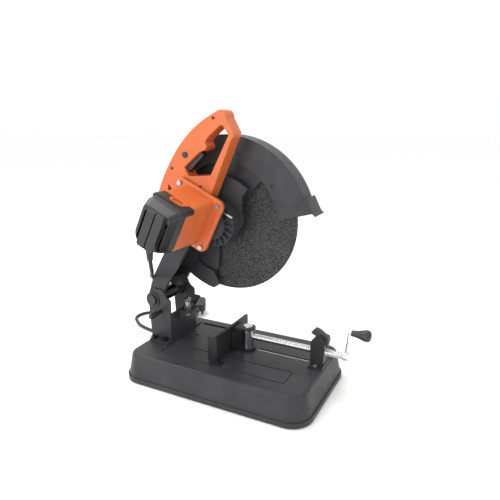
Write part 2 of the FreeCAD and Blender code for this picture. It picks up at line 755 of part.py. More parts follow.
def guard_near():
    """Near face and rim of the guard, with the sunk ledge and web round the spindle."""
    near, far = GUARD_NEAR, GUARD_FAR - GUARD_SHEET
    sheet = GUARD_SHEET
    ledge = near + LEDGE_DEPTH
    rim = guard_side(near, far).cut(guard_space(near - 1, far + 1))
    face = guard_side(near, near + sheet).cut(rod_y(SPINDLE, LEDGE_R, near - 1, near + sheet + 1))
    step = rod_y(SPINDLE, LEDGE_R + sheet, near, ledge + sheet).cut(
        rod_y(SPINDLE, LEDGE_R, near - 1, ledge + sheet + 1))
    floor = rod_y(SPINDLE, LEDGE_R + sheet, ledge, ledge + sheet)
    closed = guard_sector(near - 1, ledge + sheet + 1).common(guard_side(near - 1, ledge + sheet + 1))
    hub = rod_y(SPINDLE, 52.0, ledge, ledge + sheet)
    guard = fuse(rim, face, step.common(closed), floor.common(closed), hub)
    return guard.cut(rod_y(SPINDLE, SPINDLE_R + 2, near, far))


def guard_far():
    """Cover on the far side of the guard."""
    near, far = GUARD_FAR - GUARD_SHEET, GUARD_FAR
    side = guard_side(near, far)
    opened = rod_y(SPINDLE, LEDGE_R, near - 1, far + 1).cut(guard_sector(near - 2, far + 2))
    return fuse(side.cut(opened), rod_y(SPINDLE, 52.0, near, far))


FLAP_WEB = [(145, 428), (161, 396), (168, 390), (166, 387.5), (158, 394), (142, 426.5)]
FLAP_CHEEK = [(143, 427.5), (115, 405), (123, 384), (159.5, 394)]


def guard_flap():
    """Spark deflector riveted round the guard's front end."""
    near, far = GUARD_NEAR - 2.5, GUARD_FAR + 2.5
    web = slab_y(FLAP_WEB, near, far)
    return fuse(slab_y(FLAP_CHEEK, near, GUARD_NEAR), slab_y(FLAP_CHEEK, GUARD_FAR, far), web)


# ---------------------------------------------------------------- motor

HOUSING_U = 43.0
HOUSING_FRONT = (-64.0, 56.0)
HOUSING_REAR = (-63.0, 51.0)
HOUSING_Y = (-106.0, -8.0)
FLANGE_Y = (-8.0, 2.0)
HOUSING_BORE = 40.0
CAP_Y = (-106.0, -128.0, -147.0)
CAP_BLOCK_Y = -157.0
CAP_WALL = 3.5
CAP_SLOTS = (-25.5, 30.5)
COLLAR = 2.5


def body_wire(half_u, v_range, low_radius, top_radius, y, shift_u=0.0):
    """Outline of the motor's body across its axis, with its own corner radii below and on top."""
    low, top = v_range
    corners = [(-half_u, low, low_radius), (half_u, low, low_radius),
               (half_u, top, top_radius), (-half_u, top, top_radius)]
    placed = [head(MOTOR_U + shift_u + u, MOTOR_V + v) + (radius,) for u, v, radius in corners]
    return rounded_wire(placed, lambda a, b: spot(a, y, b))


def barrel():
    """Body of the motor housing, a little lower at the cap than at the flange."""
    return Part.makeLoft([body_wire(HOUSING_U, HOUSING_FRONT, 24, 7, HOUSING_Y[1]),
                          body_wire(HOUSING_U, HOUSING_REAR, 30, 7, HOUSING_Y[0])], True, True)


def oval(half_length, half_width, v0, v1):
    """Oval post on the top of the housing, long across the motor."""
    corners = [(-half_length, -half_width), (half_length, -half_width),
               (half_length, half_width), (-half_length, half_width)]
    radius = half_width - 0.01

    def place(a, b):
        x, z = head(MOTOR_U + OVAL_U + a, MOTOR_V + v0)
        return spot(x, OVAL_Y + b, z)
    face = Part.Face(rounded_wire([corner + (radius,) for corner in corners], place))
    low, high = head(0, v0), head(0, v1)
    return face.extrude(spot(high[0] - low[0], 0, high[1] - low[1]))


OVAL_U = 6.0
OVAL_Y = -94.0


def motor_housing():
    flange = soften(head_square(MOTOR_FLANGE, MOTOR_FLANGE, 16, *FLANGE_Y), 4.0, lies_at_y(FLANGE_Y[0]))
    housing = fuse(flange, barrel(), oval(20, 11, 40, 55))
    housing = housing.cut(oval(14, 6.5, 51, 60))
    housing = housing.cut(rod_y(MOTOR, HOUSING_BORE, HOUSING_Y[0] - 1, FLANGE_Y[0] + 2))
    housing = housing.cut(rod_y(MOTOR, SHAFT_R + RUNNING, FLANGE_Y[0], FLANGE_Y[1] + 1))
    for place in motor_bolt_places():
        housing = housing.cut(rod_y(place, 2.8, FLANGE_Y[0] - 1, FLANGE_Y[1] + 1))
    return housing


def motor_bolt(place):
    near = FLANGE_Y[0]
    return fuse(rod_y(place, 2.5, near, 13), rod_y(place, 5.5, near - 6, near))


def cap_form(wall):
    """Outer form of the end cap, or its hollow when a wall is given."""
    sizes = [(43.5, -63.5, 52.0, 30), (42.0, -60.0, 47.0, 34), (35.0, -52.0, 37.0, 28)]
    wires = []
    for y, (half_u, low, top, radius) in zip(CAP_Y, sizes):
        y = y + wall if y == CAP_Y[2] else y
        wires.append(body_wire(half_u - wall, (low + wall, top - wall), radius - wall, radius / 3, y))
    return Part.makeLoft(wires, True, True)


def cap_collar():
    """Strap of the cap that laps over the top of the housing, round the oval boss."""
    size = (HOUSING_FRONT[0], HOUSING_REAR[1] + COLLAR)
    ring = Part.makeLoft([body_wire(HOUSING_U + COLLAR, size, 24, 8, CAP_Y[0] - 6),
                          body_wire(HOUSING_U + COLLAR, size, 24, 8, CAP_Y[0] + 24)], True, True)
    top = slab_y([head(MOTOR_U - 60, 43), head(MOTOR_U + 60, 43), head(MOTOR_U + 60, 70),
                  head(MOTOR_U - 60, 70)], CAP_Y[0] - 6, CAP_Y[0] + 24)
    return ring.common(top).cut(oval(21, 12.5, 30, 70)).cut(block((-300, 100), (OVAL_Y, 0), (300, 500)).common(
        slab_y([head(MOTOR_U + OVAL_U - 21, 30), head(MOTOR_U + OVAL_U + 21, 30),
                head(MOTOR_U + OVAL_U + 21, 80), head(MOTOR_U + OVAL_U - 21, 80)], -200, 0)))


def body_block():
    """Raised block on the face of the cap."""
    return Part.makeLoft([body_wire(22, (-50, 34), 6, 6, CAP_BLOCK_Y, 4),
                          body_wire(22, (-50, 38), 6, 6, CAP_Y[2] + 12, 4)], True, True)


def end_cap():
    """Grey plastic cap over the brush end, with a raised block that carries the cord."""
    face = CAP_Y[2]
    cap = fuse(cap_form(0), soften(body_block(), 2.0, lies_at_y(CAP_BLOCK_Y)), cap_collar().cut(barrel()))
    cap = cap.cut(cap_form(CAP_WALL))
    split = MOTOR_U + 4
    cap = cap.cut(head_square(1.5, 50, 0, CAP_BLOCK_Y - 1, CAP_BLOCK_Y + 5, split, MOTOR_V - 8))
    for offset in CAP_SLOTS:
        cap = cap.cut(head_square(3, 34, 0, face - 4, face + 9, MOTOR_U + offset, MOTOR_V - 9))
    bearing = rod_y(MOTOR, 12.0, face + 2, face + 16)
    return fuse(cap, bearing).cut(rod_y(MOTOR, SHAFT_R + RUNNING, face + 4, face + 20))


def stator():
    return rod_y(MOTOR, HOUSING_BORE - 0.3, -92, -36).cut(rod_y(MOTOR, 27.0, -93, -35))


def armature():
    """Shaft with its core, commutator and pinion."""
    shaft = rod_y(MOTOR, SHAFT_R, CAP_Y[2] + 5, 56)
    core = rod_y(MOTOR, 26.0, -90, -38)
    commutator = rod_y(MOTOR, 14.0, -118, -100)
    phase = gear_direction() + math.pi + math.pi / PINION_TEETH
    pinion = slab_y(gear_outline(PINION_TEETH, GEAR_ADDENDUM, GEAR_BACKLASH, MOTOR, phase),
                    GEAR_Y[0] - 1, GEAR_Y[1] + 1)
    return fuse(shaft, core, commutator, pinion)


def cooling_fan():
    hub = rod_y(MOTOR, 12.0, -28, -12)
    disc = rod_y(MOTOR, 36.0, -15, -12)
    blades = []
    for angle in range(0, 360, 45):
        root, tip = around(MOTOR, 11, angle), around(MOTOR, 36, angle)
        turn = math.radians(angle + 90)
        side = (math.cos(turn), math.sin(turn))
        blades.append(slab_y([root, tip, (tip[0] + 2 * side[0], tip[1] + 2 * side[1]),
                              (root[0] + 2 * side[0], root[1] + 2 * side[1])], -28, -14))
    fan = fuse(hub, disc, *blades)
    return fan.cut(rod_y(MOTOR, SHAFT_R + 0.02, -30, -10))


# ---------------------------------------------------------------- handle

TRIGGER_PIVOT = (-126.0, 489.0)
TRIGGER_SWING = 7.0
LOCK_BUTTON = (-125.0, 517.0)
LOCK_BUTTON_R = 6.5
LOCK_BUTTON_TRAVEL = 3.0


def handle_side(y0, y1, face):
    """D-shaped side of the handle, with its finger opening and the small gap behind the motor."""
    moves = [(-183, 476, -149, 527), (-99, 577, -42, 610), (-24, 612, -17, 598), (-4, 574),
             (0, 562, -6, 550), (-34, 487), (-62, 424), MOTOR, (-206, 398), (-211, 416)]
    side = traced_y((-211, 416), moves, y0, y1)
    opening = slab_y([(-29, 584, 6), (-12, 562, 7), (-60, 473, 8), (-117, 469, 5), (-129, 489, 3),
                      (-86, 524, 2), (-71, 529, 4), (-66, 536, 5), (-72, 546, 6), (-64, 556, 8)],
                     y0 - 1, y1 + 1)
    gap = slab_y([(-176, 451, 2), (-159, 428, 2), (-178, 420, 2)], y0 - 1, y1 + 1)
    return soften(side.cut(opening), HANDLE_ROUND, lies_at_y(face)).cut(gap)


def handle_pockets():
    """Room for the trigger and its switch."""
    trigger_room = slab_y([(-137, 486), (-122, 476), (-80, 515), (-84, 528), (-97, 542), (-104, 540),
                           (-138, 503)], 14.5, 35.5)
    switch_room = slab_y(SWITCH_OUTLINE, 14.5, 35.5)
    button_room = rod_y(LOCK_BUTTON, LOCK_BUTTON_R + 0.15, HANDLE_Y[0] - 1, 14.6)
    return fuse(trigger_room, switch_room, button_room)


SWITCH_OUTLINE = [(-140, 505), (-107, 543), (-121, 556), (-153, 516)]


def handle_half(near):
    y0, y1 = (HANDLE_Y[0], HANDLE_Y[1]) if near else (HANDLE_Y[1], HANDLE_Y[2])
    half = handle_side(y0, y1, y0 if near else y1)
    half = half.cut(case_body())
    half = half.cut(handle_pockets())
    return half


def trigger_switch():
    return slab_y(SWITCH_OUTLINE, 15, 35)


def trigger():
    return slab_y([(-134, 489, 2), (-121, 480, 2), (-82, 516, 2), (-94, 533), (-134, 499)], 15.5, 34.5)


def lock_button():
    y0 = HANDLE_Y[0] - LOCK_BUTTON_TRAVEL - 0.5
    button = rod_y(LOCK_BUTTON, LOCK_BUTTON_R, y0, 14.5 - LOCK_BUTTON_TRAVEL - 0.2)
    return soften(button, 1.2, lies_at_y(y0))


# ---------------------------------------------------------------- vise

def fence():
    """Fence plate with a return at its near end and two feet."""
    thick = 6.0
    face = FENCE_FACE
    near, far = -69.0, 78.0
    plate = block((face - thick, face), (near, far), (BASE_TOP, 126))
    end = block((face - 24, face), (near - 3, near), (BASE_TOP, 124))
    near_foot = slab_z([(face - 12, near - 18, 4), (face + 16, near - 18, 4), (face + 16, near),
                        (face - 12, near)], BASE_TOP, BASE_TOP + 4)
    far_foot = slab_z([(face - 40, 40), (face - 4, 40), (face - 4, 72), (face - 40, 72, 6)],
                      BASE_TOP, BASE_TOP + 4)
    body = fuse(plate, end, near_foot, far_foot)
    for x, y in FENCE_BOLTS:
        body = body.cut(rod_z(x, y, 4.1, BASE_TOP - 1, BASE_TOP + 6))
    return body


FENCE_BOLTS = [(1.0, -78.0), (-31.0, 56.0)]


def fence_bolt(x, y):
    top = BASE_TOP + 4
    return fuse(rod_z(x, y, 4.0, BASE_TOP, top), hex_z(x, y, 13.0, top, top + 5.3))


def vise_jaw():
    """Moving jaw plate with the two lugs that hold the swivel."""
    plate = block((FENCE_FACE + 1, FENCE_FACE + 7), (-8, 48), (BASE_TOP + 2, 115))
    lugs = []
    for z0 in (BASE_TOP + 2, 118.0):
        reach = slab_z([(FENCE_FACE + 1, 2), (SWIVEL_X, 2), (SWIVEL_X, 38), (FENCE_FACE + 1, 38)], z0, z0 + 4)
        lugs.append(fuse(reach, rod_z(SWIVEL_X, VISE_Y, 18.0, z0, z0 + 4)))
    riser = block((FENCE_FACE + 1, FENCE_FACE + 7), (2, 38), (114, 122))
    jaw = fuse(plate, riser, *lugs)
    return jaw.cut(rod_z(SWIVEL_X, VISE_Y, 8.05, BASE_TOP, 130))


def jaw_pin():
    """Chromed swivel between the lugs that the screw turns in."""
    low, high = BASE_TOP + 6, 118.0
    barrel = rod_z(SWIVEL_X, VISE_Y, SWIVEL_R, low, high)
    cap = soften(rod_z(SWIVEL_X, VISE_Y, 11.0, high + 4, high + 8), 1.5, lies_at_z(high + 8))
    pin = fuse(barrel, rod_z(SWIVEL_X, VISE_Y, 8.0, BASE_TOP + 2, high + 5), cap)
    return pin.cut(rod_x(VISE_Y, VISE_Z, 5.06, SWIVEL_X - 8, SWIVEL_X + SWIVEL_R + 1))


def vise_nut_block():
    """Block that holds the screw's half nut, with ears for its release lever."""
    x0, x1 = NUT_X
    foot_plate = slab_z([(x0, -5, 5), (x1, -5, 5), (x1, 45, 5), (x0, 45, 5)], BASE_TOP, BASE_TOP + 5)
    body = block((x0 + 2, x1 - 2), (8, 32), (BASE_TOP + 5, 124))
    ears = [slab_y([(x0 + 2, 120), (x0 + 7, 131), (x0 + 15, 132), (x0 + 19, 140, 4), (x0 + 28, 140, 5),
                    (x1 - 1, 130), (x1 - 1, 116), (x0 + 12, 116)], y, y + 5) for y in (8, 27)]
    shape = fuse(body, *ears, foot_plate)
    for x, y in VISE_BOLTS:
        shape = shape.cut(rod_z(x, y, 3.1, BASE_TOP - 1, BASE_TOP + 7))
    pin = rod_y(LEVER_PIVOT, 3.0, 8, 32)
    return fuse(shape.cut(rod_x(VISE_Y, VISE_Z, SCREW_R + 0.08, x0 - 1, x1 + 1)), pin)


VISE_BOLTS = [(201.0, 1.5), (201.0, 38.5)]
LEVER_PIVOT = (208.0, 134.0)


def vise_bolt(x, y):
    top = BASE_TOP + 5
    return fuse(rod_z(x, y, 3.0, BASE_TOP, top), hex_z(x, y, 10.0, top, top + 4))


def vise_lever():
    """Hooked quick-release lever."""
    outline = [(184, 143, 2), (193, 153, 3), (205, 149, 6), (216, 141, 5), (224, 139, 3), (225.5, 129, 3),
               (222.5, 115, 2), (218, 114, 2), (217.5, 126, 2), (209, 127.5, 2), (199, 130, 3), (195, 137, 3),
               (187, 140.5, 1)]
    return slab_y(outline, 13.5, 26.5).cut(rod_y(LEVER_PIVOT, 3.05, 10, 30))


def vise_screw():
    swivel_face = SWIVEL_X + SWIVEL_R
    neck = rod_x(VISE_Y, VISE_Z, 5.0, SWIVEL_X - 7, swivel_face + 1)
    return fuse(neck, rod_x(VISE_Y, VISE_Z, SCREW_R, swivel_face + 0.5, CRANK_X - 4))


def crank_end():
    lean = math.radians(CRANK_LEAN)
    return (CRANK_X + CRANK_RADIUS * math.sin(lean), VISE_Z + CRANK_RADIUS * math.cos(lean))


def crank_arm():
    """Hub on the screw, bent arm and the pin that the knob spins on."""
    x, z = crank_end()
    hub = rod_x(VISE_Y, VISE_Z, 9.5, CRANK_X - 4, CRANK_X + 5)
    way = spot(x - CRANK_X, 0, z - VISE_Z)
    arm = Part.makeCylinder(3.0, way.Length, spot(CRANK_X, VISE_Y, VISE_Z), way)
    elbow = Part.makeSphere(3.0, spot(x, VISE_Y, z))
    return fuse(hub, arm, elbow, rod_x(VISE_Y, z, 3.0, x, x + 40))


def crank_knob():
    x, z = crank_end()
    start = spot(x + 4, VISE_Y, z)
    profile = [(x + 4, 0), (x + 4, 6.5), (x + 20, 8.5), (x + 34, 12.5), (x + 42, 12.5), (x + 46, 8), (x + 46, 0)]
    points = [spot(px, VISE_Y, z + radius) for px, radius in profile]
    knob = Part.Face(Part.makePolygon(points + [points[0]])).revolve(start, X_AXIS, 360)
    return knob.cut(rod_x(VISE_Y, z, 3.06, x, x + 40.5))


# ---------------------------------------------------------------- cord

CORD_R = 4.4
GLAND = (-118.0, -146.0)
GLAND_Z = (310.0, 345.0)
ARM_ROUTE = [(-118, -146, 310), (-122, -138, 288), (-144, -110, 266), (-176, -74, 247), (-205, -38, 231),
             (-226, -8, 217), (-236, 12, 198), (-239, 22, 176)]
FLOOR_ROUTE = [(-239, 22, 176), (-243.8, 38, 140.8), (-249, 48, 100), (-259, 62, 62), (-276, 76, 32),
               (-302, 90, 11), (-334, 103, 4.6), (-364, 109, 4.6), (-391, 119, 4.6), (-414.6, 136, 4.6),
               (-437, 155, 4.6), (-442, 183, 4.6), (-427.5, 208.5, 4.6), (-400, 218.5, 4.6),
               (-372.5, 208.5, 4.6), (-358, 183.5, 4.6), (-342, 158, 4.6), (-318, 134, 4.6),
               (-288, 119.5, 4.6)]
COIL_PLACE = (-283.0, 170.0)
COIL_RADII = (38.0, 57.0)
COIL_HEIGHT = 26.2
LEAD_ROUTE = [(-241, 201.5, 20), (-250, 214, 20.2), (-260, 227, 20.8), (-267, 241, 22.1)]
PLUG_TILT = 12.7
PLUG_TURN = 25.0


def cord_guard():
    """Rubber sleeve where the cord leaves the cap's block."""
    low, high = GLAND_Z
    sleeve = Part.makeCone(6.0, 9.0, high - low, spot(GLAND[0], GLAND[1], low), Z_AXIS)
    sleeve = sleeve.cut(fuse(cap_form(0), body_block()))
    return max(sleeve.Solids, key=lambda solid: -solid.BoundBox.ZMin)


def cord_coil():
    """Outer form of the coiled stretch of the cord."""
    inner, outer = COIL_RADII
    x, y = COIL_PLACE
    return rod_z(x, y, outer, 0.2, COIL_HEIGHT).cut(rod_z(x, y, inner, -1, COIL_HEIGHT + 1))


def plug():
    """Three-pin plug standing on its pins, with the cord leaving at its lower end."""
    thick, half, length, sleeve = 24.0, 23.0, 48.0, 22.0
    body = slab_z([(-half, 0, 8), (half, 0, 8), (half - 3, length, 12), (3 - half, length, 12)], 0, thick)
    body = soften(body, 3.0, lies_at_z(thick))
    neck = Part.makeCone(8.0, 6.0, sleeve, spot(0, 0.5, thick / 2), spot(0, -1, 0))
    live = [block((x - 3.2, x + 3.2), (11, 15), (-17.7, 1)) for x in (-11.1, 11.1)]
    earth = block((-2, 2), (31.5, 39.5), (-22.7, 1))
    shape = fuse(body, neck, earth, *live)
    end = LEAD_ROUTE[-1]
    shape.translate(spot(end[0], end[1] + sleeve - 0.5, end[2] - thick / 2))
    shape.rotate(spot(*end), X_AXIS, PLUG_TILT)
    shape.rotate(spot(*end), Z_AXIS, PLUG_TURN)
    return shape


def cord_tube(route, name):
    """Tube of straight runs and tangent arcs, each arc as large as its runs allow."""
    points = [spot(*p) for p in route]
    edges = []
    here = points[0]
    radii = []
    for before, corner, after in zip(points, points[1:], points[2:]):
        back = before - corner
        ahead = after - corner
        reach = 0.45 * min(back.Length, ahead.Length)
        back.normalize()
        ahead.normalize()
        turn = math.pi - back.getAngle(ahead)
        radius = reach / math.tan(turn / 2)
        radii.append(round(radius))
        start = corner + back * reach
        end = corner + ahead * reach
        middle = corner + (back + ahead).normalize() * (radius / math.cos(turn / 2) - radius)
        edges.append(Part.LineSegment(here, start).toShape())
        edges.append(Part.Arc(start, middle, end).toShape())
        here = end
    edges.append(Part.LineSegment(here, points[-1]).toShape())
    path = Part.Wire(edges)
    way = points[1] - points[0]
    section = Part.Wire(Part.makeCircle(CORD_R, points[0], way))
    tube = path.makePipeShell([section], True, False)
    expected = math.pi * CORD_R ** 2 * path.Length
    print(name, "length", round(path.Length), "radii", radii, "volume ratio", round(tube.Volume / expected, 3))
    return tube


# ---------------------------------------------------------------- writing

def repeated(name, make, places):
    """Numbered copies of one piece."""
    return {name + "_" + str(index + 1): make(*place) for index, place in enumerate(places)}


def main():
    os.makedirs("parts", exist_ok=True)
    bench = [(x * BENCH_BOLT_X, y * BENCH_BOLT_Y) for x in (-1, 1) for y in (-1, 1)]
    parts = {
        "base_shell": base_shell(),
        "hinge_bracket": hinge_bracket(),
        "pivot_pin": pivot_pin(),
        "pivot_nut": pivot_nut(),
        "return_spring": return_spring(),
        "stop_bolt": stop_bolt(),
        "stop_nut": stop_nut(),
        "lock_pin": lock_pin(),
        "swing_arm": swing_arm(),
        "bearing_plate": bearing_plate(),
        "spindle_lock": spindle_lock(),
        "spindle": spindle(),
        "spindle_gear": spindle_gear(),
        "inner_flange": inner_flange(),
        "outer_flange": outer_flange(),
        "cutting_wheel": cutting_wheel(),
        "wheel_bolt": wheel_bolt(),
        "guard_near": guard_near(),
        "guard_far": guard_far(),
        "guard_flap": guard_flap(),
        "motor_housing": motor_housing(),
        "end_cap": end_cap(),
        "stator": stator(),
        "armature": armature(),
        "cooling_fan": cooling_fan(),
        "handle_near": handle_half(True),
        "handle_far": handle_half(False),
        "trigger_switch": trigger_switch(),
        "trigger": trigger(),
        "lock_button": lock_button(),
        "fence": fence(),
        "vise_jaw": vise_jaw(),
        "jaw_pin": jaw_pin(),
        "vise_nut_block": vise_nut_block(),
        "vise_lever": vise_lever(),
        "vise_screw": vise_screw(),
        "crank_arm": crank_arm(),
        "crank_knob": crank_knob(),
        "cord_guard": cord_guard(),
        "cord_arm": cord_tube(ARM_ROUTE, "cord_arm"),
        "cord_floor": cord_tube(FLOOR_ROUTE, "cord_floor"),
        "cord_coil": cord_coil(),
        "cord_lead": cord_tube(LEAD_ROUTE, "cord_lead"),
        "plug": plug(),
    }
    parts.update(repeated("foot", foot, bench))
    parts.update(repeated("bracket_bolt", bracket_bolt, BRACKET_BOLTS))
    parts.update(repeated("motor_bolt", lambda *place: motor_bolt(place), motor_bolt_places()))
    parts.update(repeated("fence_bolt", fence_bolt, FENCE_BOLTS))
    parts.update(repeated("vise_bolt", vise_bolt, VISE_BOLTS))
    for name, shape in parts.items():
        if not shape.isValid() or len(shape.Solids) != 1:
            print("check", name, shape.isValid(), len(shape.Solids))
        shape.exportStep("parts/" + name + ".step")
    print(len(parts), "parts")


main()
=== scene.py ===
"""Looks of the bench cut-off saw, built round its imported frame. Metres, in the frame's own axes."""
import json
import math

import bmesh
import bpy
from mathutils import Matrix, Vector


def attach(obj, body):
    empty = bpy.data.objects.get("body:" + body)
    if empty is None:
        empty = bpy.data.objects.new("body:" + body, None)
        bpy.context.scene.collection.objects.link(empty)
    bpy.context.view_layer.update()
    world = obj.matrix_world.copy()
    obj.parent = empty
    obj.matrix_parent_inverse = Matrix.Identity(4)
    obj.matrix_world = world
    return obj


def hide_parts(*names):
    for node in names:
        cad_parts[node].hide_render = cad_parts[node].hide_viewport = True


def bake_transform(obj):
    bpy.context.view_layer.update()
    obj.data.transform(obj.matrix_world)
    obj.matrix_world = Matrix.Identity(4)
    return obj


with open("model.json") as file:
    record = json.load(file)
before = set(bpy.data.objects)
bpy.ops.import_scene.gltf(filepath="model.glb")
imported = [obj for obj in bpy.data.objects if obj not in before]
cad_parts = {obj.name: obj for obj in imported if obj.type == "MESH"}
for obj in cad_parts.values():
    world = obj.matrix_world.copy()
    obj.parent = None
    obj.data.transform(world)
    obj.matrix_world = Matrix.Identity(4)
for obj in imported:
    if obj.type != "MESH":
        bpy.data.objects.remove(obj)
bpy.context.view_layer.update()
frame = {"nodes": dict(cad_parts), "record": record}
NODES = frame["nodes"]
MM = 0.001


# ---------------------------------------------------------------- camera

CAMERA_PLACE = (0.50544, -0.89909, 0.58821)
CAMERA_RIGHT = (0.8894, 0.4571, -0.0041)
CAMERA_UP = (-0.1153, 0.2330, 0.9656)
CAMERA_FORWARD = (-0.4424, 0.8583, -0.2599)
CAMERA_LENS = 34.255
CAMERA_SENSOR = 36.0
CAMERA_RANGE = 50.0


def place_camera():
    """Camera on the crank's side, about level with the handle's top and looking down a little."""
    data = bpy.data.cameras.new("camera")
    data.sensor_width = CAMERA_SENSOR
    data.lens = CAMERA_LENS
    data.clip_end = CAMERA_RANGE
    camera = bpy.data.objects.new("camera", data)
    backward = -Vector(CAMERA_FORWARD)
    turn = Matrix((Vector(CAMERA_RIGHT), Vector(CAMERA_UP), backward)).transposed().to_4x4()
    camera.matrix_world = Matrix.Translation(Vector(CAMERA_PLACE)) @ turn
    bpy.context.scene.collection.objects.link(camera)
    bpy.context.scene.camera = camera


place_camera()


# ---------------------------------------------------------------- cord

CORD_R = 4.4 * MM
# Control points in mm: from the sleeve along the arm, down to the floor and round the loop, to the plug.
ARM_ROUTE = [(-118, -146, 310), (-122, -138, 288), (-144, -110, 266), (-176, -74, 247), (-205, -38, 231),
             (-226, -8, 217), (-236, 12, 198), (-239, 22, 176)]
FLOOR_ROUTE = [(-243.8, 38, 140.8), (-249, 48, 100), (-259, 62, 62), (-276, 76, 32),
               (-302, 90, 11), (-334, 103, 4.6), (-364, 109, 4.6), (-391, 119, 4.6), (-414.6, 136, 4.6),
               (-437, 155, 4.6), (-442, 183, 4.6), (-427.5, 208.5, 4.6), (-400, 218.5, 4.6),
               (-372.5, 208.5, 4.6), (-358, 183.5, 4.6), (-342, 158, 4.6), (-318, 134, 4.6)]
LEAD_ROUTE = [(-250, 214, 20.2), (-260, 227, 20.8), (-267, 241, 22.1)]
COIL_PLACE = (-283.0, 170.0)
COIL_STEP = 30
COIL_START = 264
COIL_STEPS = 64
COIL_CROSSING = 0.2
# Radius and height in mm of each turn, in the order in which the cord is laid.
COIL_LAYERS = [(52, 4.6), (43, 4.6), (43, 13.4), (52, 13.4), (43, 21.6), (52, 21.6)]


def coil_route():
    """Turns of the put-away length, laid beside and on each other."""
    swell = 1 / math.cos(math.radians(COIL_STEP / 2))
    points = []
    for step in range(COIL_STEPS):
        degrees = step * COIL_STEP
        turn, part = divmod(degrees / 360, 1)
        layer = COIL_LAYERS[int(turn)]
        following = COIL_LAYERS[min(int(turn) + 1, len(COIL_LAYERS) - 1)]
        share = max(0.0, (part - (1 - COIL_CROSSING)) / COIL_CROSSING)
        radius = swell * (layer[0] + share * (following[0] - layer[0]))
        height = layer[1] + share * (following[1] - layer[1])
        angle = math.radians(COIL_START + degrees)
        points.append((COIL_PLACE[0] + radius * math.cos(angle),
                       COIL_PLACE[1] + radius * math.sin(angle), height))
    return points


def new_object(name, data):
    piece = bpy.data.objects.new(name, data)
    bpy.context.scene.collection.objects.link(piece)
    return piece


def smooth(mesh):
    for polygon in mesh.polygons:
        polygon.use_smooth = True


def spline_object(name, route):
    """Smooth curve along the route's control points, without a section yet."""
    curve = bpy.data.curves.new(name, "CURVE")
    curve.dimensions = "3D"
    curve.resolution_u = 8
    curve.bevel_resolution = 4
    curve.use_fill_caps = True
    spline = curve.splines.new("NURBS")
    spline.points.add(len(route) - 1)
    for point, place in zip(spline.points, route):
        point.co = (place[0] * MM, place[1] * MM, place[2] * MM, 1)
    spline.order_u = 3
    spline.use_endpoint_u = True
    return curve, new_object(name, curve)


def as_mesh(piece):
    """The object's shape as it stands, as a mesh."""
    bpy.context.view_layer.update()
    depsgraph = bpy.context.evaluated_depsgraph_get()
    return bpy.data.meshes.new_from_object(piece.evaluated_get(depsgraph))


def make_cord():
    """The whole cord as one tube, from the sleeve on the arm down to the base, the coil and the plug."""
    route = ARM_ROUTE + FLOOR_ROUTE + coil_route() + LEAD_ROUTE
    curve, guide = spline_object("cord_guide", route)
    path = [tuple(vertex.co) for vertex in as_mesh(guide).vertices]
    curve.bevel_depth = CORD_R
    mesh = as_mesh(guide)
    bpy.data.objects.remove(guide)
    mesh.name = "mains_cord"
    smooth(mesh)
    cord = new_object("mains_cord", mesh)
    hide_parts("cord_arm", "cord_floor", "cord_coil", "cord_lead")
    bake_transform(cord)
    return cord


CORD = make_cord()


# ---------------------------------------------------------------- materials

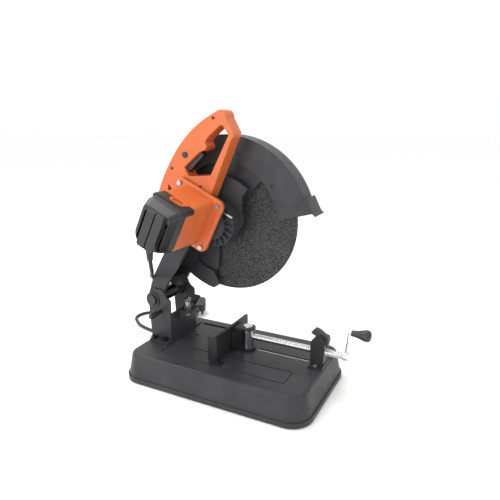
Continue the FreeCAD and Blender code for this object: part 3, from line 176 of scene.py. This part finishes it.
class Shade:
    """A small builder for one procedural material on a Principled shader; lengths are in metres."""

    def __init__(self, name, color, roughness, metallic=0.0, specular=0.5):
        self.material = bpy.data.materials.new(name)
        self.material.use_nodes = True
        self.tree = self.material.node_tree
        self.shader = self.tree.nodes["Principled BSDF"]
        self.shader.inputs["Base Color"].default_value = (*color, 1)
        self.shader.inputs["Roughness"].default_value = roughness
        self.shader.inputs["Metallic"].default_value = metallic
        self.shader.inputs["Specular IOR Level"].default_value = specular
        self.place = self.tree.nodes.new("ShaderNodeTexCoord").outputs["Object"]
        self.color = color
        self.height = None

    def node(self, kind, **settings):
        made = self.tree.nodes.new(kind)
        for key, value in settings.items():
            setattr(made, key, value)
        return made

    def link(self, source, target):
        self.tree.links.new(source, target)

    def noise(self, scale, detail=4.0, stretch=None):
        """Noise with a given number of features a metre, drawn out along an axis by stretch."""
        noise = self.node("ShaderNodeTexNoise")
        noise.inputs["Scale"].default_value = scale
        noise.inputs["Detail"].default_value = detail
        source = self.place
        if stretch:
            mapping = self.node("ShaderNodeMapping")
            mapping.inputs["Scale"].default_value = stretch
            self.link(self.place, mapping.inputs["Vector"])
            source = mapping.outputs["Vector"]
        self.link(source, noise.inputs["Vector"])
        return noise.outputs["Fac"]

    def ramp(self, source, low, high, values):
        """Maps a factor between low and high onto two colours or greys."""
        ramp = self.node("ShaderNodeValToRGB")
        ramp.color_ramp.elements[0].position = low
        ramp.color_ramp.elements[1].position = high
        for element, value in zip(ramp.color_ramp.elements, values):
            element.color = value if len(value) == 4 else (*value, 1)
        self.link(source, ramp.inputs["Fac"])
        return ramp.outputs["Color"]

    def mottle(self, source, low, high, dark, light):
        """Colour that varies between the base colour darkened and lightened."""
        values = [tuple(min(1.0, c * share) for c in self.color) for share in (dark, light)]
        self.link(self.ramp(source, low, high, values), self.shader.inputs["Base Color"])

    def vary_roughness(self, source, low, high):
        values = [(low, low, low), (high, high, high)]
        self.link(self.ramp(source, 0.3, 0.7, values), self.shader.inputs["Roughness"])

    def bump(self, source, strength, distance):
        bump = self.node("ShaderNodeBump")
        bump.inputs["Strength"].default_value = strength
        bump.inputs["Distance"].default_value = distance
        self.link(source, bump.inputs["Height"])
        self.link(self.soft_edges(), bump.inputs["Normal"])
        self.link(bump.outputs["Normal"], self.shader.inputs["Normal"])

    def times(self, first, second):
        """Product of two colours."""
        mix = self.node("ShaderNodeMix", data_type="RGBA", blend_type="MULTIPLY")
        mix.inputs["Factor"].default_value = 1.0
        inputs = [socket for socket in mix.inputs if socket.type == "RGBA"]
        self.link(first, inputs[0])
        self.link(second, inputs[1])
        return [socket for socket in mix.outputs if socket.type == "RGBA"][0]

    def soft_edges(self, radius=0.0007):
        """Normal that rounds sharp edges a little in the shading."""
        bevel = self.node("ShaderNodeBevel", samples=4)
        bevel.inputs["Radius"].default_value = radius
        return bevel.outputs["Normal"]


def powder_coat(name, color, roughness=0.42):
    """Satin powder coat: a faint orange peel and slow changes of tone."""
    shade = Shade(name, color, roughness, specular=0.2)
    shade.mottle(shade.noise(22, 6), 0.35, 0.7, 0.86, 1.16)
    shade.vary_roughness(shade.noise(60, 5), roughness - 0.06, roughness + 0.07)
    shade.bump(shade.noise(1100, 2), 0.35, 0.00012)
    return shade.material


def moulded(name, color, roughness, grain=1500.0, depth=0.00010):
    """Moulded plastic with a fine spark-eroded grain."""
    shade = Shade(name, color, roughness)
    shade.mottle(shade.noise(35, 4), 0.35, 0.7, 0.95, 1.05)
    shade.vary_roughness(shade.noise(90, 4), roughness - 0.05, roughness + 0.05)
    shade.bump(shade.noise(grain, 3), 0.5, depth)
    return shade.material


def plated(name, color, roughness, brushing=(1, 1, 1)):
    """Bare or plated metal with faint machining marks."""
    shade = Shade(name, color, roughness, 1.0)
    shade.mottle(shade.noise(140, 6), 0.3, 0.75, 0.8, 1.1)
    shade.vary_roughness(shade.noise(420, 5, brushing), roughness - 0.05, roughness + 0.1)
    shade.bump(shade.noise(900, 3, brushing), 0.2, 0.00006)
    return shade.material


def rubber(name, color, roughness=0.62):
    """Matt rubber with a fine, uneven surface."""
    shade = Shade(name, color, roughness)
    shade.mottle(shade.noise(120, 5), 0.3, 0.7, 0.8, 1.3)
    shade.bump(shade.noise(1700, 2), 0.4, 0.00008)
    return shade.material


def abrasive(name):
    """Resin-bonded grit: coarse and fine grains over a slowly varying ground."""
    shade = Shade(name, (0.055, 0.055, 0.057), 0.8)
    coarse = shade.noise(430, 3)
    fine = shade.noise(1300, 4)
    speckle = shade.ramp(coarse, 0.38, 0.66, [(0.007, 0.007, 0.0075), (0.135, 0.135, 0.138)])
    grains = shade.ramp(fine, 0.3, 0.7, [(0.45, 0.45, 0.45), (1.0, 1.0, 1.0)])
    ground = shade.ramp(shade.noise(16, 3), 0.3, 0.7, [(0.75, 0.75, 0.75), (1.0, 1.0, 1.0)])
    shade.link(shade.times(shade.times(speckle, grains), ground), shade.shader.inputs["Base Color"])
    shade.bump(coarse, 0.8, 0.0006)
    return shade.material


MATERIALS = {
    "black_coat": powder_coat("black_coat", (0.040, 0.040, 0.044), 0.38),
    "vise_coat": powder_coat("vise_coat", (0.022, 0.022, 0.024), 0.36),
    "foot_rubber": rubber("foot_rubber", (0.018, 0.018, 0.018)),
    "orange_plastic": moulded("orange_plastic", (0.60, 0.131, 0.032), 0.4),
    "black_plastic": moulded("black_plastic", (0.022, 0.022, 0.024), 0.42),
    "grey_plastic": moulded("grey_plastic", (0.017, 0.017, 0.018), 0.38),
    "cord_rubber": rubber("cord_rubber", (0.014, 0.014, 0.015), 0.5),
    "abrasive": abrasive("abrasive"),
    "chrome": plated("chrome", (0.72, 0.72, 0.74), 0.12),
    "laminations": plated("laminations", (0.28, 0.28, 0.29), 0.5),
    "black_steel": plated("black_steel", (0.07, 0.07, 0.073), 0.3),
    "zinc_steel": plated("zinc_steel", (0.52, 0.52, 0.54), 0.28),
}


def finish_nodes():
    """Every CAD node shown gets the procedural version of its slot's finish."""
    slots = {row["node"]: row["material_slot"] for row in frame["record"]["subparts"]}
    for name, piece in NODES.items():
        for material_slot in piece.material_slots:
            material_slot.material = MATERIALS[slots[name]]


finish_nodes()
CORD.data.materials.append(MATERIALS["cord_rubber"])


# ---------------------------------------------------------------- turned and threaded pieces

def grid_piece(name, rows, body, slot, replaced=()):
    """Closed skin through rings of points, capped at both ends."""
    mesh = bpy.data.meshes.new(name)
    made = bmesh.new()
    rings = [[made.verts.new(point) for point in row] for row in rows]
    for low, high in zip(rings, rings[1:]):
        for index in range(len(low)):
            after = (index + 1) % len(low)
            made.faces.new((low[index], low[after], high[after], high[index]))
    made.faces.new(list(reversed(rings[0])))
    made.faces.new(rings[-1])
    bmesh.ops.recalc_face_normals(made, faces=made.faces)
    made.to_mesh(mesh)
    made.free()
    smooth(mesh)
    mesh.materials.append(MATERIALS[slot])
    piece = new_object(name, mesh)
    if replaced:
        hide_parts(*replaced)
    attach(piece, body)
    return piece


def turned(name, origin, axis, profile, body, slot, replaced=(), sides=48, shape=None):
    """Turned piece about an axis, from a profile of (distance along, radius) in mm.

    shape, if given, is the share of the radius kept at each distance and angle.
    """
    axis = Vector(axis).normalized()
    across = axis.orthogonal().normalized()
    other = axis.cross(across)
    origin = Vector(origin) * MM
    rows = []
    for along, radius in profile:
        row = []
        for index in range(sides):
            angle = 2 * math.pi * index / sides
            size = radius * MM * (shape(along, angle) if shape else 1.0)
            spoke = across * math.cos(angle) + other * math.sin(angle)
            row.append(origin + axis * along * MM + spoke * size)
        rows.append(row)
    return grid_piece(name, rows, body, slot, replaced)


# Sizes and places in mm. TINY is the radius that closes a turned piece on its axis.
TINY = 0.01
SCREW_R = 7.5
SCREW_NECK_R = 5.0
SCREW_PITCH = 4.0
SCREW_STEP = 0.5
SCREW_NECK = 19.0
SCREW_END = 258.0
THREAD_START = 41.5
THREAD_DEPTH = 1.5
FLANK_SLOPE = 8
ROOT_SHARE = 1.2
VISE_AXIS = (0, 20, 100)
LOCK_PIN_PLACE = (-189, 0, 140)
GRIP_FLUTES = 24
FLUTE_DEPTH = 0.09
CRANK_X = 262.0
CRANK_REACH = 57.0
CRANK_LEAN = 6.0


def vise_thread():
    """Screw with a trapezoidal thread and a plain neck into the swivel."""
    profile = [(SCREW_NECK, TINY), (SCREW_NECK, SCREW_NECK_R), (THREAD_START, SCREW_NECK_R)]
    steps = int((SCREW_END - THREAD_START) / SCREW_STEP)
    profile += [(THREAD_START + TINY + step * SCREW_STEP, SCREW_R) for step in range(steps)]
    profile += [(SCREW_END, SCREW_R), (SCREW_END, TINY)]

    def thread(along, angle):
        if along <= THREAD_START:
            return 1.0
        phase = (along / SCREW_PITCH - angle / (2 * math.pi)) % 1.0
        flank = min(max(abs(phase - 0.5) * FLANK_SLOPE - ROOT_SHARE, 0.0), 1.0)
        return 1.0 - (1.0 - flank) * THREAD_DEPTH / SCREW_R
    return turned("vise_screw_threaded", VISE_AXIS, (1, 0, 0), profile, "screw", "chrome", ["vise_screw"],
                  32, thread)


def knurl(teeth, depth, first, last):
    """Radius change that cuts lengthwise flutes between two places."""
    def shape(along, angle):
        if not first <= along <= last:
            return 1.0
        return 1.0 - depth * (0.5 + 0.5 * math.cos(teeth * angle))
    return shape


def lock_pin_grip():
    """Fluted plastic grip of the transport lock pin, with the pin's rod behind it."""
    profile = [(-73, TINY), (-73, 3.4), (-72.4, 4.6), (-71, 5.6), (-69, 6.3), (-68, 6.5),
               (-56, 6.5), (-48, 6.5), (-45, 6.4), (-43.6, 5.8), (-43, 4.0), (-27.5, 4.0),
               (-27.4, TINY)]
    flutes = knurl(GRIP_FLUTES, FLUTE_DEPTH, -69, -44.5)
    return turned("lock_pin_grip", LOCK_PIN_PLACE, (0, 1, 0), profile, "lock_pin", "black_plastic",
                  ["lock_pin"], 96, flutes)


def crank_grip():
    """Smooth plastic knob, flared to a rounded end."""
    lean = math.radians(CRANK_LEAN)
    x = CRANK_X + CRANK_REACH * math.sin(lean)
    z = VISE_AXIS[2] + CRANK_REACH * math.cos(lean)
    profile = [(4, 3.1), (4, 5.6), (4.6, 6.3), (6, 6.6), (14, 7.4), (20, 8.5), (26, 10.2),
               (31, 11.8), (35, 12.6), (39, 12.6), (42, 11.6), (44.4, 9.2), (45.6, 6.0), (46, 3.0),
               (46, TINY)]
    return turned("crank_grip", (x, VISE_AXIS[1], z), (1, 0, 0), profile, "knob", "black_plastic",
                  ["crank_knob"], 48)


def socket_screw(name, place, axis, radius, body, slot="black_steel"):
    """Pan-head screw with a round socket, its seat at the given place in mm."""
    steps = [(0, TINY), (0, 1), (0.35, 1), (0.55, 0.9), (0.66, 0.7), (0.68, 0.52), (0.67, 0.5),
             (0.2, 0.48), (0.2, TINY)]
    profile = [(along * radius, share * radius) for along, share in steps]
    return turned(name, place, axis, profile, body, slot, (), 36)


# Screw places as (x, z) in mm, and the faces that the heads sit in, as y.
HANDLE_SCREWS = [(-163, 486), (-49, 597), (-146, 451), (-86, 447)]
GUARD_SCREWS = [(-28, 519), (62, 449)]
HANDLE_SCREW_Y = 6.3
GUARD_NEAR_Y = 72.2
GUARD_FAR_Y = 119.8
HANDLE_SCREW_R = 3.4
GUARD_SCREW_R = 4.2


def small_screws():
    """Screws that hold the handle's halves and the guard's cover."""
    for index, (x, z) in enumerate(HANDLE_SCREWS):
        name = "handle_screw_" + str(index + 1)
        socket_screw(name, (x, HANDLE_SCREW_Y, z), (0, -1, 0), HANDLE_SCREW_R, "arm")
    for index, (x, z) in enumerate(GUARD_SCREWS):
        number = str(index + 1)
        socket_screw("guard_screw_" + number, (x, GUARD_NEAR_Y, z), (0, -1, 0), GUARD_SCREW_R, "arm")
        socket_screw("guard_screw_far_" + number, (x, GUARD_FAR_Y, z), (0, 1, 0), GUARD_SCREW_R, "arm")


vise_thread()
lock_pin_grip()
crank_grip()
small_screws()


# ---------------------------------------------------------------- floor and light

FLOOR_HALF = 30.0


def make_floor():
    """Pale floor that runs out of sight."""
    mesh = bpy.data.meshes.new("floor")
    corners = [(x * FLOOR_HALF, y * FLOOR_HALF, 0) for x, y in ((-1, -1), (1, -1), (1, 1), (-1, 1))]
    mesh.from_pydata(corners, [], [(0, 1, 2, 3)])
    floor = new_object("floor", mesh)
    shade = Shade("floor_paint", (0.97, 0.97, 0.97), 0.8)
    mesh.materials.append(shade.material)


def area_light(name, place, target, size, power, color=(1.0, 1.0, 1.0)):
    """Rectangular light at a place, turned to its target."""
    data = bpy.data.lights.new(name, "AREA")
    data.color = color
    data.shape = "RECTANGLE"
    data.size, data.size_y = size
    data.energy = power
    light = new_object(name, data)
    way = Vector(target) - Vector(place)
    light.rotation_euler = way.to_track_quat("-Z", "Y").to_euler()
    light.location = place


def light_scene():
    """White surroundings, a warm light from above and weaker ones from the side and the front."""
    world = bpy.data.worlds.new("studio")
    world.use_nodes = True
    background = world.node_tree.nodes["Background"]
    background.inputs["Color"].default_value = (1, 1, 1, 1)
    background.inputs["Strength"].default_value = 1.02
    bpy.context.scene.world = world
    bpy.context.scene.view_settings.view_transform = "Standard"
    area_light("key", (-0.9, 0.1, 2.4), (-0.05, 0, 0.3), (1.5, 1.5), 40, (1.0, 0.95, 0.86))
    area_light("side", (-2.2, -1.2, 1.0), (0, 0, 0.25), (1.0, 1.6), 4)
    area_light("front", (-0.5, -2.4, 0.7), (0, 0, 0.35), (1.4, 1.2), 20)


make_floor()
light_scene()
